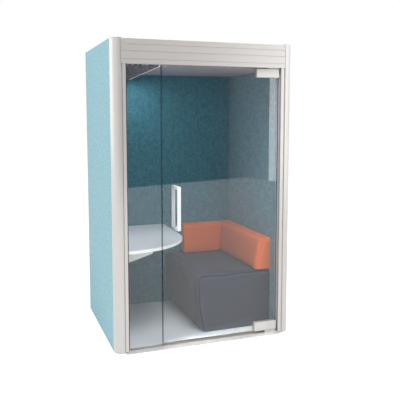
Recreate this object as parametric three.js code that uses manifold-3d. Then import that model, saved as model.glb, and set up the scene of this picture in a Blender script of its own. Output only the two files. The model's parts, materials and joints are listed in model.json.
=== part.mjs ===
// Acoustic office pod for one seated person: upholstered walls, a glazed front with a swinging glass door,
// a worktop on the left wall, and a block seat with two back cushions on the right.
// Millimetres, +Z up, +Y from the glazed front to the back wall, +X to the right seen from the front.
// The origin is on the floor, in the middle of the footprint with the outer pull included.
import * as THREE from 'three';
import { RoundedBoxGeometry } from 'three/addons/geometries/RoundedBoxGeometry.js';
import { mergeVertices } from 'three/addons/utils/BufferGeometryUtils.js';
import Module from 'manifold-3d';

const wasm = await Module();
wasm.setup();

// Overall size
const WIDTH = 1400;
const DEPTH = 1100;
const HEIGHT = 2250;
const HALF = WIDTH / 2;
const GAP = 0.3; // between pieces that touch
const PAST = 1; // how far a cutting shape runs past the face it cuts
const GLIDE_HEIGHT = 4;
const GLIDE_INSET = 8;
const REAR_GLIDE_RADIUS = 30;
const CURVE_STEPS = 8; // on a quarter round, and twice as many on a full circle

// Walls
const SIDE_WALL = 100;
const BACK_WALL = 76;
const OUTER_PANEL = 25;
const SIDE_INNER_PANEL = 25;
const BACK_INNER_PANEL = 20;
const PANEL_EDGE_RADIUS = 5;
const BACK_FACE = DEPTH - BACK_WALL;

// Floor, ceiling and roof
const FLOOR_TOP = 20;
const FLOOR_COVERING = 3;
const BEARER_MIDDLES = { floor_bearer_front: 260, floor_bearer_rear: 820 };
const BEARER_HALF_WIDTH = 40;
const CEILING = 2068;
const CEILING_BOARD = 18;
const ROOF_UNDERSIDE = 2190;
const ROOF_BOARD = 18;

// Front frame
const FRAME_DEPTH = 74;
const POST_RADIUS = 66;
const POST_REVEAL = 10; // depth of the groove beside the wall
const GLAZING_REVEAL = 9; // depth of the groove beside the glazing
const POST_NECK = 77;
const POST_SKIN = 4;
const POST_STEPS = 10;
const POST_CAP = 3;
const HEADER_HEIGHT = 178; // from the posts' tops to its underside
const HEADER_DROP = 6; // of its top below the posts' tops
const HEADER_END_GAP = 2; // to the posts
const HEADER_FRONT_SKIN = 7;
const HEADER_BOTTOM_SKIN = 16;
const HEADER_TOP_SKIN = 6;
const GROOVES_BELOW_TOP = [45, 92, 146];
const GROOVE_WIDTH = 4;
const GROOVE_DEPTH = 3;
const THRESHOLD_TOP = 12;
const THRESHOLD_SLOT = 7;
const RAMP_FRONT = -18; // in front of the posts' faces
const RAMP_BACK = 17;
const RAMP_LIP = 1.5;
const STRIP_WIDTH = 23;
const STRIP_FRONT = 1;
const STRIP_SLOT = 8;
const SLOT_DEPTH = 10;
const BULB_RADIUS = 3;
const BULB_PROJECTION = 1.7; // of the bulb's middle from the strip
const BULB_END = 1;
const EDGE_SEAL_LIP = 1.3;
const EDGE_SEAL_GRIP = 4;

// Glass
const GLASS = 10;
const GLASS_FRONT = 30;
const GLASS_BACK = GLASS_FRONT + GLASS;
const GLASS_MIDDLE = GLASS_FRONT + GLASS / 2;
const FIXED_PANE_EDGE = 363; // from the left outer face
const DOOR_EDGE = 367.5;
const DOOR_HINGE_EDGE = 1290;
const DOOR_BOTTOM = 30;
const DOOR_TOP = 2066;
const SWEEP_BOTTOM = 18; // of the seal under the door
const SWEEP_INSET = 1;

// Patch fittings
const PIVOT = 1238; // from the left outer face
const PATCH_LEFT = 1103;
const PATCH_RIGHT = 1291;
const PATCH_COVER = 11.7;
const PATCH_CORE_HALF_DEPTH = 12;
const PATCH_CORE_HALF_WIDTH = 66;
const PATCH_CORE_MIDDLE = 1198;
const PATCH_CORE_HEIGHT = 50;
const TOP_PATCH_HEIGHT = 66;
const BOTTOM_PATCH_HEIGHT = 72;
const PATCH_EDGE_RADIUS = 3;
const PIN_RADIUS = 7;
const PIN_REACH = 26;
const PIN_END = 2; // from the pin's tip to the bottom of its bore
const PIVOT_PLATE_HALF_WIDTH = 45;
const PIVOT_PLATE_HALF_DEPTH = 17;
const PIVOT_PLATE = 4;
const PIVOT_BLOCK_CLEARANCE = 1.5; // under the door
const FITTING_EDGE_RADIUS = 1.5;
const STOP_LEFT = 384;
const STOP_RIGHT = 413;
const STOP_FRONT = 42;
const STOP_BACK = 58;
const STOP_HEIGHT = 12;

// Pulls
const PULL_MIDDLE = 471;
const PULL_WIDTH = 26;
const PULL_BOTTOM = 881;
const PULL_TOP = 1203;
const PULL_REACH = 70;
const PULL_BAR = 14;
const PULL_LEG = 20;
const PULL_CORNER = 9;
const BOLT_RADIUS = 4;
const BOLT_GRIP = 18;
const BOLT_END = 1; // from each end of a bolt to the bottom of its socket
const BOLT_BORE_CLEARANCE = 2;

// Worktop: straight at the back and right, one quarter of an ellipse at the front
const WORKTOP_TOP = 742;
const WORKTOP_THICKNESS = 25;
const WORKTOP_RIGHT = 660;
const WORKTOP_FRONT = 46;
const WORKTOP_CURVE_START = 540;
const WORKTOP_EDGE_RADIUS = 4;
const WORKTOP_CLEARANCE = 0.5; // to the walls
const BRACKET_REACH = 212;
const BRACKET_ROOT = 78;
const BRACKET_TIP = 20;
const BRACKET_THICKNESS = 28;
const BRACKET_CORNER = 8;
const BRACKET_POSITIONS = { worktop_front_bracket: 106, worktop_rear_bracket: 860 };

// Seat and back cushions
const SEAT_LEFT = 679;
const SEAT_FRONT = 148;
const SEAT_TOP = 478;
const SEAT_CROWN = 7;
const SEAT_BULGE = 13;
const SEAT_TUCK = 48;
const SEAT_EDGE_RADIUS = 20;
const CUSHION_TOP = 741;
const CUSHION_EDGE_RADIUS = 15;
const CUSHION_CROWN = 5;
const RIGHT_CUSHION_LEFT = 1170;
const RIGHT_CUSHION_LEAN = 36;
const REAR_CUSHION_LEFT = 822;
const REAR_CUSHION_FRONT = 900;
const REAR_CUSHION_LEAN = 42;
const UPHOLSTERY_CLEARANCE = 0.6; // to the walls
const CUSHION_LIFT = 1.5; // above the seat's flat border
const CUSHION_BORDER = 40; // from the seat's crown to the cushions
const CUSHION_PARTING = 2;
const EDGE_SPLIT = 0.3; // where a rounded edge's middle row of points starts, as a share of its radius

// Ventilation and light
const BAFFLE_RIGHT = 360;
const BAFFLE_SLOPE = 0.042;
const BAFFLE_BOARD = 12;
const LIGHT_STRIP = 10;
const LIGHT_STRIP_LIFT = 1;
const AIR_SLOT = 2;
const LEDGE = 20;
const LEDGE_SKIN = 2;
const DRIVER_LEFT = 600;
const DRIVER_RIGHT = 780;
const DRIVER_FRONT = 780;
const DRIVER_BACK = 830;
const DRIVER_HEIGHT = 32;
const DRIVER_EDGE_RADIUS = 3;
const INLET_WIDTH = 62;
const INLET_FRONT = 920;
const INLET_BACK = 964;
const INLET_HEIGHT = 30;
const INLET_EDGE_RADIUS = 2;
const SOCKET_WIDTH = 28;
const SOCKET_DEPTH = 16;
const SOCKET_BOTTOM = 6;
const SOCKET_TOP = 25;
const FAN_ACROSS = 230;
const FAN_BACK = 540;
const FAN_SIDE = 150;
const FAN_HEIGHT = 45;
const FAN_BORE = 69;
const FAN_TIP = 66;
const FAN_HUB = 25;
const FAN_BLADES = 7;
const FAN_CORNER_RADIUS = 4;
const FAN_FLOOR = 1; // from the frame's underside to the struts
const FAN_BOSS = 13;
const FAN_STRUTS = 3;
const STRUT_HALF_WIDTH = 4;
const STRUT_HEIGHT = 6;
const ROOT_OVERLAP = 4; // how far struts and blades run into the boss and hub
const HUB_CLEARANCE_BELOW = 1;
const HUB_CLEARANCE_ABOVE = 3;
const BLADE_CHORD = 30;
const BLADE_THICKNESS = 2.4;
const BLADE_ROOT_PITCH = 48;
const BLADE_TIP_PITCH = 26;
const GUARD_THICKNESS = 4;
const GUARD_RINGS = [[14, 18], [30, 34], [46, 50], [62, 66], [76, 84]];
const GUARD_BAR_REACH = 80;
const GUARD_BAR_HALF_WIDTH = 2;

const PALETTE = {
  outer_fabric: new THREE.MeshStandardMaterial({ color: 0x8cc4d0, roughness: 0.95, metalness: 0 }),
  inner_fabric: new THREE.MeshStandardMaterial({ color: 0x3f7f8c, roughness: 0.95, metalness: 0 }),
  core_foam: new THREE.MeshStandardMaterial({ color: 0x8a8a86, roughness: 1, metalness: 0 }),
  aluminium: new THREE.MeshStandardMaterial({ color: 0xdcd8d4, roughness: 0.4, metalness: 0.6 }),
  steel: new THREE.MeshStandardMaterial({ color: 0xc8c8c8, roughness: 0.3, metalness: 1 }),
  glass: new THREE.MeshStandardMaterial({
    color: 0xdcebea, roughness: 0.05, metalness: 0, transparent: true, opacity: 0.25,
  }),
  white_paint: new THREE.MeshStandardMaterial({ color: 0xf2f2f2, roughness: 0.4, metalness: 0 }),
  worktop: new THREE.MeshStandardMaterial({ color: 0xdfe2e6, roughness: 0.5, metalness: 0 }),
  floor: new THREE.MeshStandardMaterial({ color: 0xcfd3d6, roughness: 0.6, metalness: 0 }),
  board: new THREE.MeshStandardMaterial({ color: 0xa98b68, roughness: 0.8, metalness: 0 }),
  ceiling: new THREE.MeshStandardMaterial({ color: 0xb9babf, roughness: 0.8, metalness: 0 }),
  roof: new THREE.MeshStandardMaterial({ color: 0x9a9b9e, roughness: 0.7, metalness: 0 }),
  dark_felt: new THREE.MeshStandardMaterial({ color: 0x4b4854, roughness: 1, metalness: 0 }),
  seat_fabric: new THREE.MeshStandardMaterial({ color: 0x4a4c55, roughness: 0.95, metalness: 0 }),
  cushion_fabric: new THREE.MeshStandardMaterial({ color: 0xe77c45, roughness: 0.95, metalness: 0 }),
  black_plastic: new THREE.MeshStandardMaterial({ color: 0x26272a, roughness: 0.6, metalness: 0 }),
  seal: new THREE.MeshStandardMaterial({ color: 0x8a8a88, roughness: 0.7, metalness: 0 }),
  diffuser: new THREE.MeshStandardMaterial({ color: 0xf6f6f2, roughness: 0.5, metalness: 0 }),
};

const pod = new THREE.Group();

function add(name, geometry, material) {
  const mesh = new THREE.Mesh(geometry, PALETTE[material]);
  mesh.name = name;
  pod.add(mesh);
}

// X of a point that lies this far from the left outer face.
function across(distance) {
  return distance - HALF;
}

function block(x0, x1, y0, y1, z0, z1) {
  const geometry = new THREE.BoxGeometry(x1 - x0, y1 - y0, z1 - z0);
  return geometry.translate((x0 + x1) / 2, (y0 + y1) / 2, (z0 + z1) / 2);
}

function roundedBlock(x0, x1, y0, y1, z0, z1, radius, steps = 2) {
  const geometry = new RoundedBoxGeometry(x1 - x0, y1 - y0, z1 - z0, steps, radius);
  return geometry.translate((x0 + x1) / 2, (y0 + y1) / 2, (z0 + z1) / 2);
}

function upright(radius, x, y, z0, z1, sides = 24) {
  const geometry = new THREE.CylinderGeometry(radius, radius, z1 - z0, sides);
  return geometry.rotateX(Math.PI / 2).translate(x, y, (z0 + z1) / 2);
}

function outline(points) {
  return new THREE.Shape(points.map(([u, v]) => new THREE.Vector2(u, v)));
}

function plainExtrusion(shape, length) {
  const settings = { depth: length, bevelEnabled: false, curveSegments: CURVE_STEPS };
  return new THREE.ExtrudeGeometry(shape, settings);
}

// The outline lies in plan, x across and y back.
function extrudeUp(shape, z0, z1) {
  return plainExtrusion(shape, z1 - z0).translate(0, 0, z0);
}

// The outline's first number is y and its second is z.
function extrudeAcross(shape, x0, x1) {
  const turn = new THREE.Matrix4().makeBasis(
    new THREE.Vector3(0, 1, 0), new THREE.Vector3(0, 0, 1), new THREE.Vector3(1, 0, 0));
  return plainExtrusion(shape, x1 - x0).applyMatrix4(turn).translate(x0, 0, 0);
}

// The outline's first number is x and its second is z.
function extrudeBack(shape, y0, y1) {
  return plainExtrusion(shape, y1 - y0).rotateX(Math.PI / 2).translate(0, y1, 0);
}

function toSolid(geometry) {
  const bare = geometry.clone();
  bare.deleteAttribute('normal');
  bare.deleteAttribute('uv');
  const merged = mergeVertices(bare, 1e-3);
  const mesh = new wasm.Mesh({
    numProp: 3,
    vertProperties: Float32Array.from(merged.attributes.position.array),
    triVerts: Uint32Array.from(merged.index.array),
  });
  return new wasm.Manifold(mesh);
}

function toGeometry(solid) {
  const mesh = solid.getMesh();
  const geometry = new THREE.BufferGeometry();
  geometry.setAttribute('position', new THREE.BufferAttribute(mesh.vertProperties, 3));
  geometry.setIndex(new THREE.BufferAttribute(mesh.triVerts, 1));
  geometry.computeVertexNormals();
  return geometry;
}

function cut(geometry, ...tools) {
  const solid = tools.reduce((whole, tool) => whole.subtract(toSolid(tool)), toSolid(geometry));
  return toGeometry(solid);
}

function join(...geometries) {
  const [first, ...others] = geometries.map(toSolid);
  return toGeometry(others.reduce((whole, other) => whole.add(other), first));
}

// Hollow quarter-round corner post with a recessed reveal beside the wall and beside the glazing.
// side is -1 at the left and 1 at the right; inset moves the outline inward to make the hollow.
function postOutline(side, inset) {
  const edge = POST_RADIUS - inset; // the round face's radius too
  const reveal = POST_REVEAL + inset;
  const glazingReveal = GLAZING_REVEAL + inset;
  const neck = POST_NECK - inset;
  const back = FRAME_DEPTH - inset;
  const first = Math.asin(inset / edge);
  const sweep = Math.PI / 2 - 2 * first;
  const points = [];
  for (let step = 0; step <= POST_STEPS; step++) {
    const angle = first + (sweep * step) / POST_STEPS;
    points.push([POST_RADIUS - edge * Math.cos(angle), POST_RADIUS - edge * Math.sin(angle)]);
  }
  points.push([edge, glazingReveal], [neck, glazingReveal], [neck, back], [reveal, back], [reveal, edge]);
  const placed = points.map(([inward, depth]) => new THREE.Vector2(side * (HALF - inward), depth));
  return side < 0 ? placed : placed.reverse(); // anticlockwise on both sides
}

function addPosts() {
  for (const [label, side] of [['left', -1], ['right', 1]]) {
    const section = new THREE.Shape(postOutline(side, 0));
    section.holes.push(new THREE.Path(postOutline(side, POST_SKIN)));
    add(`${label}_front_post`, extrudeUp(section, GLIDE_HEIGHT, HEIGHT - POST_CAP - GAP), 'aluminium');
    const cap = new THREE.Shape(postOutline(side, 0));
    add(`${label}_post_cap`, extrudeUp(cap, HEIGHT - POST_CAP, HEIGHT), 'aluminium');
    const foot = new THREE.Shape(postOutline(side, GLIDE_INSET));
    add(`${label}_front_glide`, extrudeUp(foot, 0, GLIDE_HEIGHT - GAP), 'black_plastic');
  }
}

function addHeader() {
  const bottom = HEIGHT - HEADER_HEIGHT;
  const top = HEIGHT - HEADER_DROP;
  const points = [
    [0, bottom],
    [GLASS_FRONT - GAP, bottom],
    [GLASS_FRONT - GAP, bottom + SLOT_DEPTH],
    [GLASS_BACK + GAP, bottom + SLOT_DEPTH],
    [GLASS_BACK + GAP, bottom],
    [FRAME_DEPTH, bottom],
    [FRAME_DEPTH, top],
    [0, top],
  ];
  for (const below of GROOVES_BELOW_TOP) {
    const upper = HEIGHT - below + GROOVE_WIDTH / 2;
    const lower = upper - GROOVE_WIDTH;
    points.push([0, upper], [GROOVE_DEPTH, upper], [GROOVE_DEPTH, lower], [0, lower]);
  }
  const section = outline(points);
  section.holes.push(outline([
    [HEADER_FRONT_SKIN, bottom + HEADER_BOTTOM_SKIN],
    [HEADER_FRONT_SKIN, top - HEADER_TOP_SKIN],
    [FRAME_DEPTH - HEADER_FRONT_SKIN, top - HEADER_TOP_SKIN],
    [FRAME_DEPTH - HEADER_FRONT_SKIN, bottom + HEADER_BOTTOM_SKIN],
  ]));
  const end = HALF - POST_RADIUS - HEADER_END_GAP;
  const neck = HALF - POST_NECK - GAP;
  const clearance = [GLAZING_REVEAL - GAP, FRAME_DEPTH + PAST, bottom - PAST, HEIGHT + PAST];
  const beam = cut(
    extrudeAcross(section, -end, end),
    block(neck, end + PAST, ...clearance),
    block(-end - PAST, -neck, ...clearance));
  add('front_header', beam, 'aluminium');
}

// A low ramp that lies on the ground, with a slot for the fixed pane.
function addThreshold() {
  const section = outline([
    [RAMP_FRONT, 0],
    [FRAME_DEPTH - GAP, 0],
    [FRAME_DEPTH - GAP, THRESHOLD_TOP],
    [GLASS_BACK + GAP, THRESHOLD_TOP],
    [GLASS_BACK + GAP, THRESHOLD_TOP - THRESHOLD_SLOT],
    [GLASS_FRONT - GAP, THRESHOLD_TOP - THRESHOLD_SLOT],
    [GLASS_FRONT - GAP, THRESHOLD_TOP],
    [RAMP_BACK, THRESHOLD_TOP],
    [RAMP_FRONT, RAMP_LIP],
  ]);
  const end = HALF - POST_NECK - GAP;
  add('front_threshold', extrudeAcross(section, -end, end), 'aluminium');
}

// A slotted strip beside each post: the left one holds the fixed pane, the right one holds the jamb seal.
function addJambs() {
  const near = POST_NECK + GAP;
  const far = near + STRIP_WIDTH;
  const slot = far - STRIP_SLOT;
  const section = (side) => outline([
    [near, STRIP_FRONT],
    [far, STRIP_FRONT],
    [far, GLASS_FRONT - GAP],
    [slot, GLASS_FRONT - GAP],
    [slot, GLASS_BACK + GAP],
    [far, GLASS_BACK + GAP],
    [far, FRAME_DEPTH - GAP],
    [near, FRAME_DEPTH - GAP],
  ].map(([inward, depth]) => [side * (HALF - inward), depth]));
  const bottom = THRESHOLD_TOP + GAP;
  const top = HEIGHT - HEADER_HEIGHT - GAP;
  add('left_glazing_channel', extrudeUp(section(-1), bottom, top), 'aluminium');
  add('right_jamb_strip', extrudeUp(section(1), bottom, top), 'aluminium');

  const bulb = new THREE.Shape();
  bulb.moveTo(HALF - slot - GAP, GLASS_BACK);
  bulb.lineTo(HALF - slot - GAP, GLASS_FRONT);
  bulb.lineTo(HALF - far - GAP, GLASS_FRONT);
  bulb.lineTo(HALF - far - GAP, GLASS_MIDDLE - BULB_RADIUS);
  bulb.absarc(HALF - far - BULB_PROJECTION, GLASS_MIDDLE, BULB_RADIUS, -Math.PI / 2, Math.PI / 2, true);
  bulb.lineTo(HALF - far - GAP, GLASS_MIDDLE + BULB_RADIUS);
  bulb.lineTo(HALF - far - GAP, GLASS_BACK);
  add('jamb_seal', extrudeUp(bulb, bottom + BULB_END, top - BULB_END), 'seal');

  const glassLeft = slot + GAP;
  add('fixed_glass', block(across(glassLeft), across(FIXED_PANE_EDGE), GLASS_FRONT, GLASS_BACK,
    THRESHOLD_TOP - THRESHOLD_SLOT + GAP, HEIGHT - HEADER_HEIGHT + SLOT_DEPTH - GAP), 'glass');

  const gripped = FIXED_PANE_EDGE - EDGE_SEAL_GRIP;
  const edge = FIXED_PANE_EDGE + GAP;
  const front = GLASS_FRONT - GAP;
  const back = GLASS_BACK + GAP;
  const edgeSeal = outline([
    [gripped, front - EDGE_SEAL_LIP],
    [edge + EDGE_SEAL_LIP, front - EDGE_SEAL_LIP],
    [edge + EDGE_SEAL_LIP, back + EDGE_SEAL_LIP],
    [gripped, back + EDGE_SEAL_LIP],
    [gripped, back],
    [edge, back],
    [edge, front],
    [gripped, front],
  ].map(([distance, depth]) => [across(distance), depth]));
  add('meeting_edge_seal', extrudeUp(edgeSeal, bottom, top), 'seal');
}

// Each wall is an upholstered outer panel, an acoustic core and an upholstered inner panel.
function addWalls() {
  const front = FRAME_DEPTH + GAP;
  const coreBack = DEPTH - OUTER_PANEL - GAP;
  const underRoof = ROOF_UNDERSIDE - GAP;
  const innerFace = HALF - SIDE_WALL;
  for (const [label, side] of [['left', -1], ['right', 1]]) {
    const spanX = (a, b) => [Math.min(side * a, side * b), Math.max(side * a, side * b)];
    add(`${label}_outer_panel`, roundedBlock(...spanX(HALF - OUTER_PANEL, HALF), front, DEPTH,
      GLIDE_HEIGHT, HEIGHT, PANEL_EDGE_RADIUS), 'outer_fabric');
    add(`${label}_wall_core`, block(...spanX(innerFace + SIDE_INNER_PANEL + GAP, HALF - OUTER_PANEL - GAP),
      front, coreBack, GLIDE_HEIGHT, underRoof), 'core_foam');
    add(`${label}_inner_panel`, roundedBlock(...spanX(innerFace, innerFace + SIDE_INNER_PANEL),
      front, coreBack, GLIDE_HEIGHT, underRoof, PANEL_EDGE_RADIUS), 'inner_fabric');
    const glide = upright(REAR_GLIDE_RADIUS, side * (HALF - SIDE_WALL / 2), DEPTH - SIDE_WALL / 2,
      0, GLIDE_HEIGHT - GAP);
    add(`${label}_rear_glide`, glide, 'black_plastic');
  }
  const backOuter = HALF - OUTER_PANEL - GAP;
  const backInner = innerFace - GAP;
  add('back_outer_panel', roundedBlock(-backOuter, backOuter, DEPTH - OUTER_PANEL, DEPTH,
    GLIDE_HEIGHT, HEIGHT, PANEL_EDGE_RADIUS), 'outer_fabric');
  add('back_wall_core', block(-backInner, backInner, BACK_FACE + BACK_INNER_PANEL + GAP, coreBack,
    GLIDE_HEIGHT, underRoof), 'core_foam');
  add('back_inner_panel', roundedBlock(-backInner, backInner, BACK_FACE, BACK_FACE + BACK_INNER_PANEL,
    GLIDE_HEIGHT, underRoof, PANEL_EDGE_RADIUS), 'inner_fabric');
}

function addFloor() {
  const side = HALF - SIDE_WALL - GAP;
  const front = FRAME_DEPTH + GAP;
  const back = BACK_FACE - GAP;
  const underside = FLOOR_TOP - FLOOR_COVERING;
  const nosing = front + FLOOR_COVERING;
  add('floor_deck', block(-side, side, nosing + GAP, back, GLIDE_HEIGHT, underside - GAP), 'board');
  const covering = outline([
    [front, GLIDE_HEIGHT],
    [nosing, GLIDE_HEIGHT],
    [nosing, underside],
    [back, underside],
    [back, FLOOR_TOP],
    [front, FLOOR_TOP],
  ]);
  add('floor_covering', extrudeAcross(covering, -side, side), 'floor');
  for (const [name, middle] of Object.entries(BEARER_MIDDLES)) {
    const bearer = block(-side, side, middle - BEARER_HALF_WIDTH, middle + BEARER_HALF_WIDTH,
      0, GLIDE_HEIGHT - GAP);
    add(name, bearer, 'black_plastic');
  }
}

// The ceiling board leaves a bay at the left, closed by a felt board that slopes down to the back wall.
// Stale air leaves over its light strip into the roof space, where the fan lifts it through the roof.
function addCeilingAndRoof() {
  const front = FRAME_DEPTH + GAP;
  const back = BACK_FACE - GAP;
  const right = HALF - SIDE_WALL - GAP;
  const stripRight = BAFFLE_RIGHT + GAP + LIGHT_STRIP;
  const ceilingTop = CEILING + CEILING_BOARD;
  const ceilingLeft = across(stripRight + AIR_SLOT);
  add('ceiling_panel', block(ceilingLeft, right, front, back, CEILING, ceilingTop), 'ceiling');

  const underside = (depth) => CEILING - BAFFLE_SLOPE * depth;
  const slopedBoard = (y0, y1, lift, thickness) => outline([
    [y0, underside(y0) + lift],
    [y1, underside(y1) + lift],
    [y1, underside(y1) + lift + thickness],
    [y0, underside(y0) + lift + thickness],
  ]);
  const baffleBack = back - LEDGE_SKIN - GAP;
  const left = across(SIDE_WALL + GAP);
  add('ventilation_baffle',
    extrudeAcross(slopedBoard(front, baffleBack, 0, BAFFLE_BOARD), left, across(BAFFLE_RIGHT)),
    'dark_felt');
  add('light_strip',
    extrudeAcross(slopedBoard(front, baffleBack, LIGHT_STRIP_LIFT, LIGHT_STRIP),
      across(BAFFLE_RIGHT + GAP), across(stripRight)),
    'diffuser');
  const ledgeTop = underside(baffleBack) - GAP;
  const ledge = outline([
    [back - LEDGE, ledgeTop - LEDGE_SKIN],
    [back, ledgeTop - LEDGE_SKIN],
    [back, ledgeTop + LEDGE],
    [back - LEDGE_SKIN, ledgeTop + LEDGE],
    [back - LEDGE_SKIN, ledgeTop],
    [back - LEDGE, ledgeTop],
  ]);
  add('baffle_rear_ledge', extrudeAcross(ledge, left, across(BAFFLE_RIGHT)), 'aluminium');
  add('light_driver', roundedBlock(across(DRIVER_LEFT), across(DRIVER_RIGHT), DRIVER_FRONT, DRIVER_BACK,
    ceilingTop + GAP, ceilingTop + DRIVER_HEIGHT, DRIVER_EDGE_RADIUS), 'white_paint');

  const roofSide = HALF - OUTER_PANEL - GAP;
  const roof = outline([
    [-roofSide, front], [roofSide, front],
    [roofSide, DEPTH - OUTER_PANEL - GAP], [-roofSide, DEPTH - OUTER_PANEL - GAP],
  ]);
  const opening = new THREE.Path();
  opening.absarc(across(FAN_ACROSS), FAN_BACK, FAN_BORE, 0, 2 * Math.PI, false);
  roof.holes.push(opening);
  add('roof_panel', extrudeUp(roof, ROOF_UNDERSIDE, ROOF_UNDERSIDE + ROOF_BOARD), 'roof');

  const inletMiddle = across(FAN_ACROSS);
  const roofTop = ROOF_UNDERSIDE + ROOF_BOARD;
  const inlet = cut(
    roundedBlock(inletMiddle - INLET_WIDTH / 2, inletMiddle + INLET_WIDTH / 2, INLET_FRONT, INLET_BACK,
      roofTop + GAP, roofTop + INLET_HEIGHT, INLET_EDGE_RADIUS),
    block(inletMiddle - SOCKET_WIDTH / 2, inletMiddle + SOCKET_WIDTH / 2, INLET_BACK - SOCKET_DEPTH,
      INLET_BACK + PAST, roofTop + SOCKET_BOTTOM, roofTop + SOCKET_TOP));
  add('mains_inlet', inlet, 'black_plastic');
}

// Axial fan under the roof: a square frame with a motor boss on three struts, a rotor with twisted blades,
// and a ring guard over the roof opening.
function addFan() {
  const x = across(FAN_ACROSS);
  const top = ROOF_UNDERSIDE - GAP;
  const bottom = top - FAN_HEIGHT;
  const strutBottom = bottom + FAN_FLOOR;
  const bossTop = strutBottom + FAN_BOSS;
  const half = FAN_SIDE / 2;
  const frame = cut(
    roundedBlock(x - half, x + half, FAN_BACK - half, FAN_BACK + half, bottom, top, FAN_CORNER_RADIUS),
    upright(FAN_BORE, x, FAN_BACK, bottom - PAST, top + PAST, 4 * CURVE_STEPS));
  const struts = [];
  for (let index = 0; index < FAN_STRUTS; index++) {
    struts.push(block(FAN_HUB - ROOT_OVERLAP, FAN_BORE + ROOT_OVERLAP, -STRUT_HALF_WIDTH, STRUT_HALF_WIDTH,
      strutBottom, strutBottom + STRUT_HEIGHT)
      .rotateZ((index * 2 * Math.PI) / FAN_STRUTS).translate(x, FAN_BACK, 0));
  }
  const boss = upright(FAN_HUB, x, FAN_BACK, strutBottom, bossTop);
  add('fan_housing', join(frame, boss, ...struts), 'black_plastic');

  const hubBottom = bossTop + HUB_CLEARANCE_BELOW;
  const hubTop = top - HUB_CLEARANCE_ABOVE;
  const hub = upright(FAN_HUB, x, FAN_BACK, hubBottom, hubTop);
  const blades = [];
  for (let index = 0; index < FAN_BLADES; index++) {
    blades.push(fanBlade().rotateZ((index * 2 * Math.PI) / FAN_BLADES)
      .translate(x, FAN_BACK, (hubBottom + hubTop) / 2));
  }
  add('fan_rotor', join(hub, ...blades), 'black_plastic');

  const guardBottom = ROOF_UNDERSIDE + ROOF_BOARD + GAP;
  const guardTop = guardBottom + GUARD_THICKNESS;
  const ring = (inner, outer) => {
    const shape = new THREE.Shape();
    shape.absarc(x, FAN_BACK, outer, 0, 2 * Math.PI, false);
    const hole = new THREE.Path();
    hole.absarc(x, FAN_BACK, inner, 0, 2 * Math.PI, false);
    shape.holes.push(hole);
    return extrudeUp(shape, guardBottom, guardTop);
  };
  const rings = GUARD_RINGS.map(([inner, outer]) => ring(inner, outer));
  const bars = [Math.PI / 4, -Math.PI / 4].map((angle) => block(-GUARD_BAR_REACH, GUARD_BAR_REACH,
    -GUARD_BAR_HALF_WIDTH, GUARD_BAR_HALF_WIDTH, guardBottom, guardTop)
    .rotateZ(angle).translate(x, FAN_BACK, 0));
  add('fan_guard', join(...rings, ...bars), 'steel');
}

// One blade along +X, pitched more steeply at its root than at its tip.
function fanBlade() {
  const root = FAN_HUB - ROOT_OVERLAP;
  const span = FAN_TIP - root;
  const lengths = 5;
  const blade = new THREE.BoxGeometry(span, BLADE_CHORD, BLADE_THICKNESS, lengths, 1, 1);
  blade.translate(root + span / 2, 0, 0);
  const position = blade.attributes.position;
  const point = new THREE.Vector3();
  for (let index = 0; index < position.count; index++) {
    point.fromBufferAttribute(position, index);
    const outward = (point.x - root) / span;
    const pitch = THREE.MathUtils.lerp(BLADE_ROOT_PITCH, BLADE_TIP_PITCH, outward);
    point.applyAxisAngle(new THREE.Vector3(1, 0, 0), THREE.MathUtils.degToRad(pitch));
    position.setXYZ(index, point.x, point.y, point.z);
  }
  return blade;
}

// Frameless door: the pane is notched for the two patch cores and bored for the pull bolts,
// and a seal hangs under it as far as the bottom patch.
function addDoor() {
  const notchLeft = across(PATCH_CORE_MIDDLE - PATCH_CORE_HALF_WIDTH);
  const notchRight = across(PATCH_CORE_MIDDLE + PATCH_CORE_HALF_WIDTH);
  const pane = outline([
    [across(DOOR_EDGE), DOOR_BOTTOM],
    [notchLeft, DOOR_BOTTOM],
    [notchLeft, DOOR_BOTTOM + PATCH_CORE_HEIGHT],
    [notchRight, DOOR_BOTTOM + PATCH_CORE_HEIGHT],
    [notchRight, DOOR_BOTTOM],
    [across(DOOR_HINGE_EDGE), DOOR_BOTTOM],
    [across(DOOR_HINGE_EDGE), DOOR_TOP],
    [notchRight, DOOR_TOP],
    [notchRight, DOOR_TOP - PATCH_CORE_HEIGHT],
    [notchLeft, DOOR_TOP - PATCH_CORE_HEIGHT],
    [notchLeft, DOOR_TOP],
    [across(DOOR_EDGE), DOOR_TOP],
  ]);
  const boltHeights = [PULL_BOTTOM + PULL_LEG / 2, PULL_TOP - PULL_LEG / 2];
  for (const height of boltHeights) {
    const bore = new THREE.Path();
    bore.absarc(across(PULL_MIDDLE), height, BOLT_RADIUS + BOLT_BORE_CLEARANCE, 0, 2 * Math.PI, false);
    pane.holes.push(bore);
  }
  add('door_glass', extrudeBack(pane, GLASS_FRONT, GLASS_BACK), 'glass');
  add('door_sweep', block(across(DOOR_EDGE + SWEEP_INSET), across(PATCH_LEFT - SWEEP_INSET),
    GLASS_FRONT + SWEEP_INSET, GLASS_BACK - SWEEP_INSET, SWEEP_BOTTOM, DOOR_BOTTOM - GAP), 'seal');
  addPatch('top', [DOOR_TOP - TOP_PATCH_HEIGHT, DOOR_TOP], [DOOR_TOP - PATCH_CORE_HEIGHT, DOOR_TOP]);
  addPatch('bottom', [DOOR_BOTTOM, DOOR_BOTTOM + BOTTOM_PATCH_HEIGHT],
    [DOOR_BOTTOM, DOOR_BOTTOM + PATCH_CORE_HEIGHT]);
  addPulls(boltHeights);
}

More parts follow.
